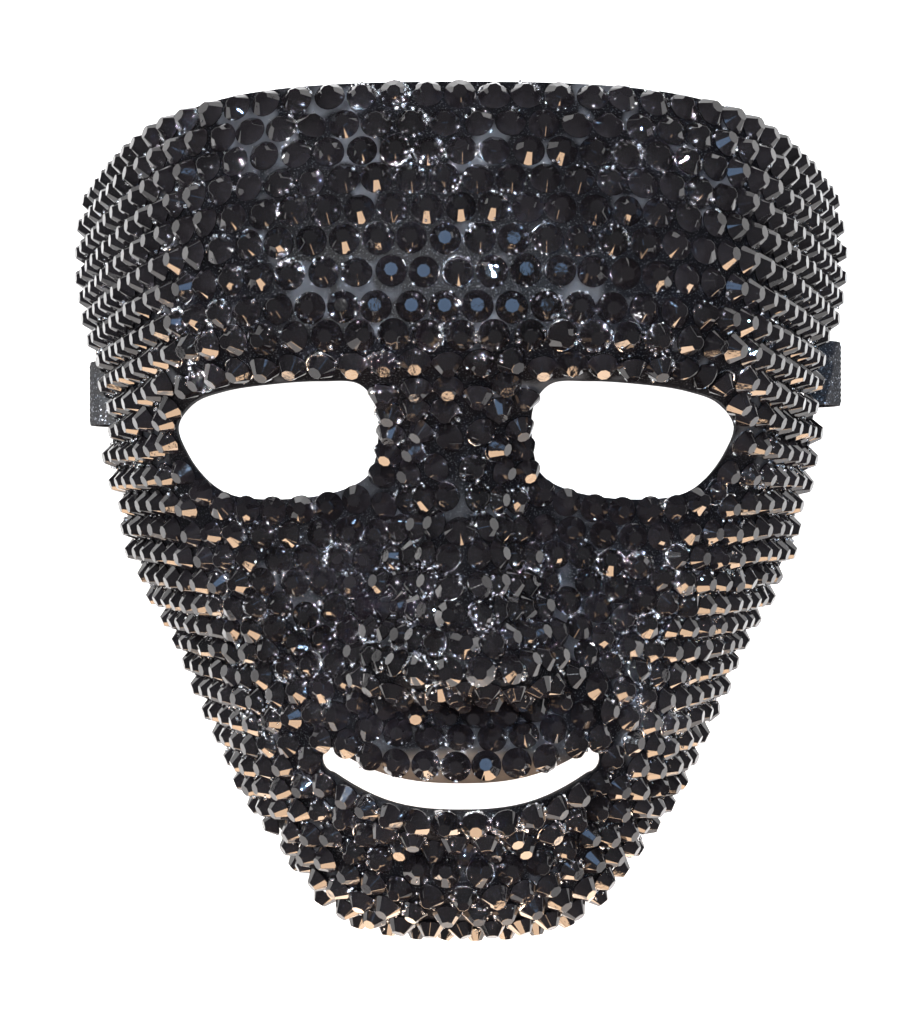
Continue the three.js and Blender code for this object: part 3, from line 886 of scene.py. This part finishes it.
def stone_seats(across, row):
    """Where each stone's flat back rests, and which way it faces: it bridges what bends under it."""
    point = face_point(across, row)
    along, down = face_slopes(across, row)
    unit_along, unit_down = unit(along), unit(down)
    around = []
    for turn in np.radians(np.arange(0, 360, 45)):
        step = SEAT_REACH * STONE_RADIUS * (math.cos(turn) * unit_along + math.sin(turn) * unit_down)
        a = np.clip(across + (step * unit_along).sum(-1) / lengths(along), -1, 1)
        r = np.clip(row + (step * unit_down).sum(-1) / lengths(down), 0, ROWS)
        around.append(face_point(a, r))
    around = np.stack(around)
    normal = np.cross(around[1:] - point, around[:-1] - point).sum(axis=0)
    normal += np.cross(around[0] - point, around[-1] - point)
    normal = unit(normal)
    lift = ((around - point) * normal).sum(-1).max(axis=0)
    return point + normal * (np.maximum(lift, 0) * SEAT_LIFT + STONE_GLUE)[:, None], normal


def careless(p):
    """How unevenly the stones sit: neat on the temples, loose low down, over the eyes and under the nose."""
    x, y = p[:, 0], p[:, 1]
    temple = smoothstep(np.abs(x), 48, 62) * smoothstep(y, -30, 0)
    low = 1 - smoothstep(y, -20, 20)
    brow = hill(0, y, 0, 28, 1, 7, 4)
    over_eyes = hill(0, y, 0, 26.5, 1, 3.5, 4)
    under_nose = hill(x, y, 0, -36, 22, 9, 4)
    uneven = (0.75 + 0.6 * low) * (1 - 0.75 * temple)
    return uneven + (1.1 * brow + 1.3 * over_eyes) * (1 - temple) + 0.8 * under_nose


def on_forehead(p):
    """1 well over the brows, 0 below them."""
    return smoothstep(p[:, 1], 36, 44)


def on_cheeks(p):
    """1 between the eyes and the mouth, 0 right under the nose."""
    between = smoothstep(p[:, 1], -60, -50) * (1 - smoothstep(p[:, 1], 2, 10))
    return between * (1 - hill(p[:, 0], p[:, 1], 0, -43, 22, 9, 4))


def crown_height(p):
    """How tall the stones stand, place by place: a flatter grade lies on the forehead and cheeks."""
    side = np.abs(p[:, 0])
    flat = np.maximum(on_forehead(p), on_cheeks(p)) * (1 - smoothstep(side, 42, 60))
    return 1 - 0.25 * flat + 0.08 * smoothstep(side, 60, 72)


def stone_tilts(rng, seat, normal):
    """Which way each stone faces: level in mid-forehead, some tipped back there and on the cheeks."""
    loose = rng.gamma(2.0, STONE_TILT / 2, (len(seat), 1)) * careless(seat)[:, None]
    tilted = normal + loose * rng.normal(0, 0.7, normal.shape)
    x, y = seat[:, 0], seat[:, 1]
    level = 0.8 * hill(x, y, -2, 43, 27, 10, 4)[:, None]
    tilted = (1 - level) * tilted + level * (0, 0, 1)
    forehead = (0.12 + 0.2 * smoothstep(x, -14, 10)) * on_forehead(seat)
    chance = (forehead + 0.18 * on_cheeks(seat)) * (1 - smoothstep(np.abs(x), 50, 58))
    tipped = rng.uniform(size=len(seat)) < chance
    tilted[:, 0] *= np.where(tipped, 0.7, 1)
    tilted[:, 1] = np.where(tipped, rng.normal(TIPPED_BACK, 0.04, len(seat)), tilted[:, 1])
    return unit(tilted)


def seat_frames(normal, spin):
    """Two directions across each seat, turned by its spin."""
    helper = np.where(np.abs(normal[:, :1]) > 0.9, (0.0, 1.0, 0.0), (1.0, 0.0, 0.0))
    right = unit(np.cross(helper, normal))
    ahead = np.cross(normal, right)
    cos, sin = np.cos(spin)[:, None], np.sin(spin)[:, None]
    return right * cos + ahead * sin, ahead * cos - right * sin


def place_copies(seat, right, ahead, normal, points, faces):
    """One set of faces, with its points or each copy's own, on every seat."""
    points = np.broadcast_to(points, (len(seat),) + points.shape[-2:])
    placed = (
        seat[:, None] + points[..., :1] * right[:, None] + points[..., 1:2] * ahead[:, None]
        + points[..., 2:] * normal[:, None]
    )
    count = points.shape[1]
    all_faces = [[v + n * count for v in face] for n in range(len(seat)) for face in faces]
    return placed.reshape(-1, 3), all_faces


def make_stones(rng, material):
    """The stones, a piece for each row; returns where each sits and which way the shell faces there."""
    across, row, size = lay_stones(rng)
    seat, normal = stone_seats(across, row)
    points, faces = stone_template()
    tilted = stone_tilts(rng, seat, normal)
    right, ahead = seat_frames(tilted, rng.uniform(0, math.pi / 4, len(seat)))
    shade = rng.uniform(0, 1, len(seat))
    scale = np.column_stack([size, size, size * crown_height(seat)])
    for r in range(ROWS):
        mine = np.clip(np.floor(row), 0, ROWS - 1) == r
        sized = points * scale[mine][:, None]
        placed, all_faces = place_copies(seat[mine], right[mine], ahead[mine], tilted[mine], sized, faces)
        label = f"{r + 1:02d}"
        piece = add_mesh(f"stones_row_{label}", to_part(placed), all_faces, material)
        attribute = piece.data.attributes.new("stone_shade", "FLOAT", "POINT")
        attribute.data.foreach_set("value", np.repeat(shade[mine], len(points)))
        nodes = [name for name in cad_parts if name.startswith(f"stone_row_{label}")]
        settle(piece, "rhinestone", *nodes)
    return seat, normal


# Glue

def ring_faces(rings):
    """Faces between closed rings of points, the last ring joined to the first."""
    faces = []
    for ring in range(rings):
        here, there = ring * GLUE_SEGMENTS, (ring + 1) % rings * GLUE_SEGMENTS
        for i in range(GLUE_SEGMENTS):
            after = (i + 1) % GLUE_SEGMENTS
            faces.append([here + i, here + after, there + after, there + i])
    return faces


def make_glue_lines(rng, seat, normal, material):
    """The glue that rises round some of the stones, uneven in height and width."""
    turn = np.arange(GLUE_SEGMENTS) * 2 * math.pi / GLUE_SEGMENTS
    chosen = rng.uniform(size=len(seat)) < RING_SHARE
    seat, normal = seat[chosen], normal[chosen]
    count = len(seat)
    waves = np.zeros((count, GLUE_SEGMENTS))
    for n in (1, 2, 3, 5, 7):
        phase = rng.uniform(0, 2 * math.pi, (count, 1))
        waves += rng.normal(0, 0.7, (count, 1)) * np.sin(n * turn + phase) / math.sqrt(n)
    plenty = rng.uniform(-0.5, 0.4, (count, 1))
    rise = np.clip(0.4 * plenty + 0.35 * waves, 0.02, 0.9)
    spread = np.clip(0.4 * plenty + 0.5 * waves - 0.25, -0.5, 0.7)
    profile = ((-0.2, 0, -0.3, 0), (-0.2, 0, 0, 1), (-0.06, 0.1, 0, 1), (0, 0.5, 0, 0.4), (0.02, 1, -0.3, 0))
    rings = []
    for out, out_spread, up, up_rise in profile:
        radius = STONE_RADIUS + out + out_spread * spread
        rings.append(np.stack([radius * np.cos(turn), radius * np.sin(turn), up + up_rise * rise], axis=-1))
    points = np.stack(rings, axis=1).reshape(count, -1, 3)
    right, ahead = seat_frames(normal, rng.uniform(0, 6, count))
    placed, all_faces = place_copies(seat, right, ahead, normal, points, ring_faces(len(profile)))
    piece = add_mesh("glue_lines", to_part(placed), all_faces, material, smooth=True)
    settle(piece, "rhinestone")


def glue_plenty(p):
    """How freely glue was used, place by place: more on the brow, cheeks and nose, less under the eyes."""
    x, y = p[:, 0], p[:, 1]
    side = np.abs(x)
    wave = np.sin(x / 9 + 1.3 * np.sin(y / 11)) * np.sin(y / 8 + 2 + np.sin(x / 13))
    brow = hill(x, y, -18, 52, 34, 26)
    cheek = hill(side, y, 36, -28, 24, 26)
    nose = hill(x, y, 0, -12, 16, 26)
    under_eye = hill(side, y, 38, 2, 18, 8)
    return np.clip(0.32 + 0.35 * wave + 0.5 * brow + 0.45 * cheek + 0.4 * nose - 0.8 * under_eye, 0.03, 1)


def make_glue_beads(rng, seat, normal, material):
    """Small clear beads of glue along the edges of the stones."""
    form = bmesh.new()
    bmesh.ops.create_uvsphere(form, u_segments=BEAD_SIDES, v_segments=BEAD_RINGS, radius=1)
    bead, faces = mesh_arrays(form)
    count = rng.poisson(rng.gamma(BEADS_UNEVEN, BEADS_PLENTY, len(seat)) * glue_plenty(seat))
    stone = np.repeat(np.arange(len(seat)), count)
    start = np.repeat(rng.uniform(0, 2 * math.pi, len(seat)), count)
    turn = start + rng.normal(0, 1.3, len(stone))
    right, ahead = seat_frames(normal[stone], turn)
    size = rng.gamma(3.0, 0.05, (len(stone), 1)) + 0.12
    lean = (STONE_RADIUS - STONE_TABLE) / (STONE_HEIGHT - STONE_GIRDLE)
    up = rng.gamma(2, 0.4, (len(stone), 1)).clip(0, 1.7)
    out = STONE_RADIUS - lean * (up - STONE_GIRDLE).clip(0) + rng.uniform(-0.02, 0.2, (len(stone), 1))
    centre = seat[stone] + right * out + normal[stone] * up * crown_height(seat)[stone][:, None]
    shape = bead * (size * rng.uniform(0.75, 1.3, (len(stone), 3)))[:, None]
    placed, all_faces = place_copies(centre, right, ahead, normal[stone], shape, faces)
    piece = add_mesh("glue_beads", to_part(placed), all_faces, material, smooth=True)
    settle(piece, "rhinestone")


# Elastic strap

def strap_route():
    """Sewn tail inside, out through the slot, down the wall, under the rim and across the table."""
    half = STRAP_THICKNESS / 2
    floor = half + STRAP_REST

    def side(s):
        slot, foot = wall_at(s, SLOT_Z), wall_at(s, 8)
        slot_x, foot_x, y = abs(slot[0]), abs(foot[0]), STRAP_Y[s]
        out = max(slot_x, foot_x) + LOOP_STANDOFF[s]
        return [
            (s * (foot_x - 9 - SEWN_LENGTH), y, floor + STRAP_THICKNESS + 0.4),
            (s * (foot_x - 11), y, floor + STRAP_THICKNESS + 0.7),
            (s * (slot_x - 13), y, SLOT_Z - 5),
            (s * (slot_x - 7.5), y, SLOT_Z - 0.3),
            (s * (slot_x - 2), y, SLOT_Z),
            (s * (slot_x + 2), y, SLOT_Z),
            (s * out, y, SLOT_Z - 3),
            (s * (out + 0.4), y, 5.5),
            (s * (out - 1.8), y, 1.6),
            (s * (out - 6), y, floor),
            (s * (foot_x - 12), y + 1.5, floor),
            (s * (foot_x - 25), y + 11, floor),
        ]

    middle = [(x, STRAP_MIDDLE_Y - dip, floor) for x, dip in ((-26, 5), (0, 0), (26, 5))]
    return side(-1) + middle + side(1)[::-1]


def strap_frames(line):
    """The webbing's sideways and upward directions along its line."""
    tangent = unit(np.gradient(line, axis=0))
    inner = np.clip((62 - np.abs(line[:, 0])) / 8, 0, 1)[:, None]
    flat = np.column_stack([-tangent[:, 1], tangent[:, 0], np.zeros(len(line))])
    across = unit((1 - inner) * (0, 1, 0) + inner * flat)
    return across, unit(np.cross(tangent, across))


def make_strap(material):
    """Woven webbing with lengthwise cords, swept along the strap's route."""
    steps, columns = ((620, 73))
    line = even_steps(spline(strap_route(), 24, closed=False), steps)
    across, up = strap_frames(line)
    u = np.linspace(-1, 1, columns)
    cords = CORD_HEIGHT * np.cos(u * math.pi * STRAP_CORDS)
    edge = np.clip((1 - np.abs(u)) * 8, 0, 1) ** 0.5
    half = (STRAP_THICKNESS / 2 - CORD_HEIGHT) * (0.55 + 0.45 * edge) + cords * edge
    picks = PICK_HEIGHT * np.cos(np.arange(len(line)) * math.pi * 0.5)[:, None]
    lift = half + picks
    sideways = across[:, None] * (u * STRAP_WIDTH / 2)[None, :, None]
    middle = line[:, None] + sideways
    sides = [middle + sign * up[:, None] * lift[..., None] for sign in (-1, 1)]
    points = to_part(np.vstack([side.reshape(-1, 3) for side in sides]))
    piece = add_mesh("elastic_webbing", points, slab_faces(columns, len(line)), material, smooth=True)
    form = bmesh.new()
    form.from_mesh(piece.data)
    bmesh.ops.recalc_face_normals(form, faces=form.faces)
    form.to_mesh(piece.data)
    form.free()
    settle(piece, "elastic", "elastic_strap")


# Table, light and camera

def make_floor(material):
    """The table the mask lies on."""
    corners = [(a * TABLE_REACH, b * TABLE_REACH, 0) for a, b in SQUARE]
    floor = add_mesh("table_top", corners, [[0, 1, 2, 3]], material)


# Lights: name, place, what each faces, width and height, brightness, colour, and what it shows in
WARM = (1, 0.67, 0.43)
LIGHTS = (
    ("overhead", (0, 0.1, 1.3), (0, 0, 0), (1.4, 1.4), 2, (1, 0.99, 0.98), "matt"),
    ("warm_card", (0, -0.6, 0.062), (0, 0, 0.062), (0.8, 0.14), 12.5, WARM, "gloss"),
    ("high_warm_card", (0.01, -0.3, 0.225), (0, 0.05, 0.083), (0.09, 0.22), 12.5, WARM, "gloss"),
    ("low_warm_card", (0, -0.15, 0.003), (0, -0.15, 1), (0.2, 0.05), 8, (1, 0.69, 0.45), "gloss"),
    ("warm_fill", (0, -0.3, 0.1), (0, 0, 0.065), (0.3, 0.1), 7, (1, 0.72, 0.5), "matt"),
    ("cool_card", (-0.004, 0.094, 0.43), (0, 0.048, 0.083), (0.11, 0.06), 3, (0.36, 0.6, 1), "gloss"),
    ("window", (0.085, 0.12, 0.43), (0, 0.045, 0.08), (0.02, 0.018), 12, (0.85, 0.93, 1), "gloss"),
    ("flash", (-0.08, 0.1, 0.43), (0, 0, 0), (0.006, 0.006), 420000, (1, 1, 1), "gloss"),
    ("blue_flash", (0.06, 0.05, 0.45), (0, 0, 0), (0.006, 0.006), 110000, (0.45, 0.68, 1), "gloss"),
)

# The room that the stones mirror, from low to high, and the backdrop that the camera sees
ROOM = ((0.09, 0.09, 0.098, 1), (0.205, 0.205, 0.22, 1))
BACKDROP = (0.9, 0.9, 0.9, 1)


def soft_light(name, place, target, size, brightness, colour, shows_in):
    """A rectangular light by how bright its face looks, white paper in the studio being 1."""
    data = bpy.data.lights.new(name, "AREA")
    data.shape = "RECTANGLE"
    data.size, data.size_y = size
    data.energy = brightness * math.pi * size[0] * size[1]
    data.color = colour
    light = bpy.data.objects.new(name, data)
    bpy.context.collection.objects.link(light)
    light.location = place
    light.rotation_euler = (Vector(target) - Vector(place)).to_track_quat("-Z", "Y").to_euler()
    light.visible_camera = False
    light.visible_diffuse = shows_in == "matt"
    light.visible_glossy = light.visible_transmission = shows_in == "gloss"


def make_room():
    """What lies round the studio: dim for the stones to mirror, pale to the camera."""
    world = bpy.data.worlds.new("studio")
    world.use_nodes = True
    tree = world.node_tree
    direction = add_node(tree, "TexCoord").outputs["Generated"]
    upward = add_node(tree, "SeparateXYZ", Vector=direction).outputs["Z"]
    room = blend(tree, span(tree, upward, 0.1, 0.8), *ROOM)
    seen = add_node(tree, "LightPath").outputs["Is Camera Ray"]
    tree.links.new(blend(tree, seen, room, BACKDROP), tree.nodes["Background"].inputs["Color"])
    bpy.context.scene.world = world
    bpy.context.scene.view_settings.view_transform = "Standard"


def make_camera():
    """A camera straight above the face, with the photograph's own view."""
    data = bpy.data.cameras.new("camera")
    data.sensor_width = 36
    data.lens = FOCAL_PX * data.sensor_width / FRAME_LONG_SIDE_PX
    data.clip_start = 0.01
    camera = bpy.data.objects.new("camera", data)
    bpy.context.collection.objects.link(camera)
    camera.location = Vector((0, 0, CAMERA_HEIGHT * MM)) + FACE_SHIFT
    bpy.context.scene.camera = camera


make_camera()
grain = grain_group()
rng = np.random.default_rng(20)
make_shell(shell_material(grain))
seat, normal = make_stones(rng, stone_material(grain))
glue = glue_material(grain)
make_glue_lines(rng, seat, normal, glue)
make_glue_beads(rng, seat, normal, glue)
make_strap(elastic_material(grain))
make_floor(floor_material(grain))
for light in LIGHTS:
    soft_light(*light)
make_room()
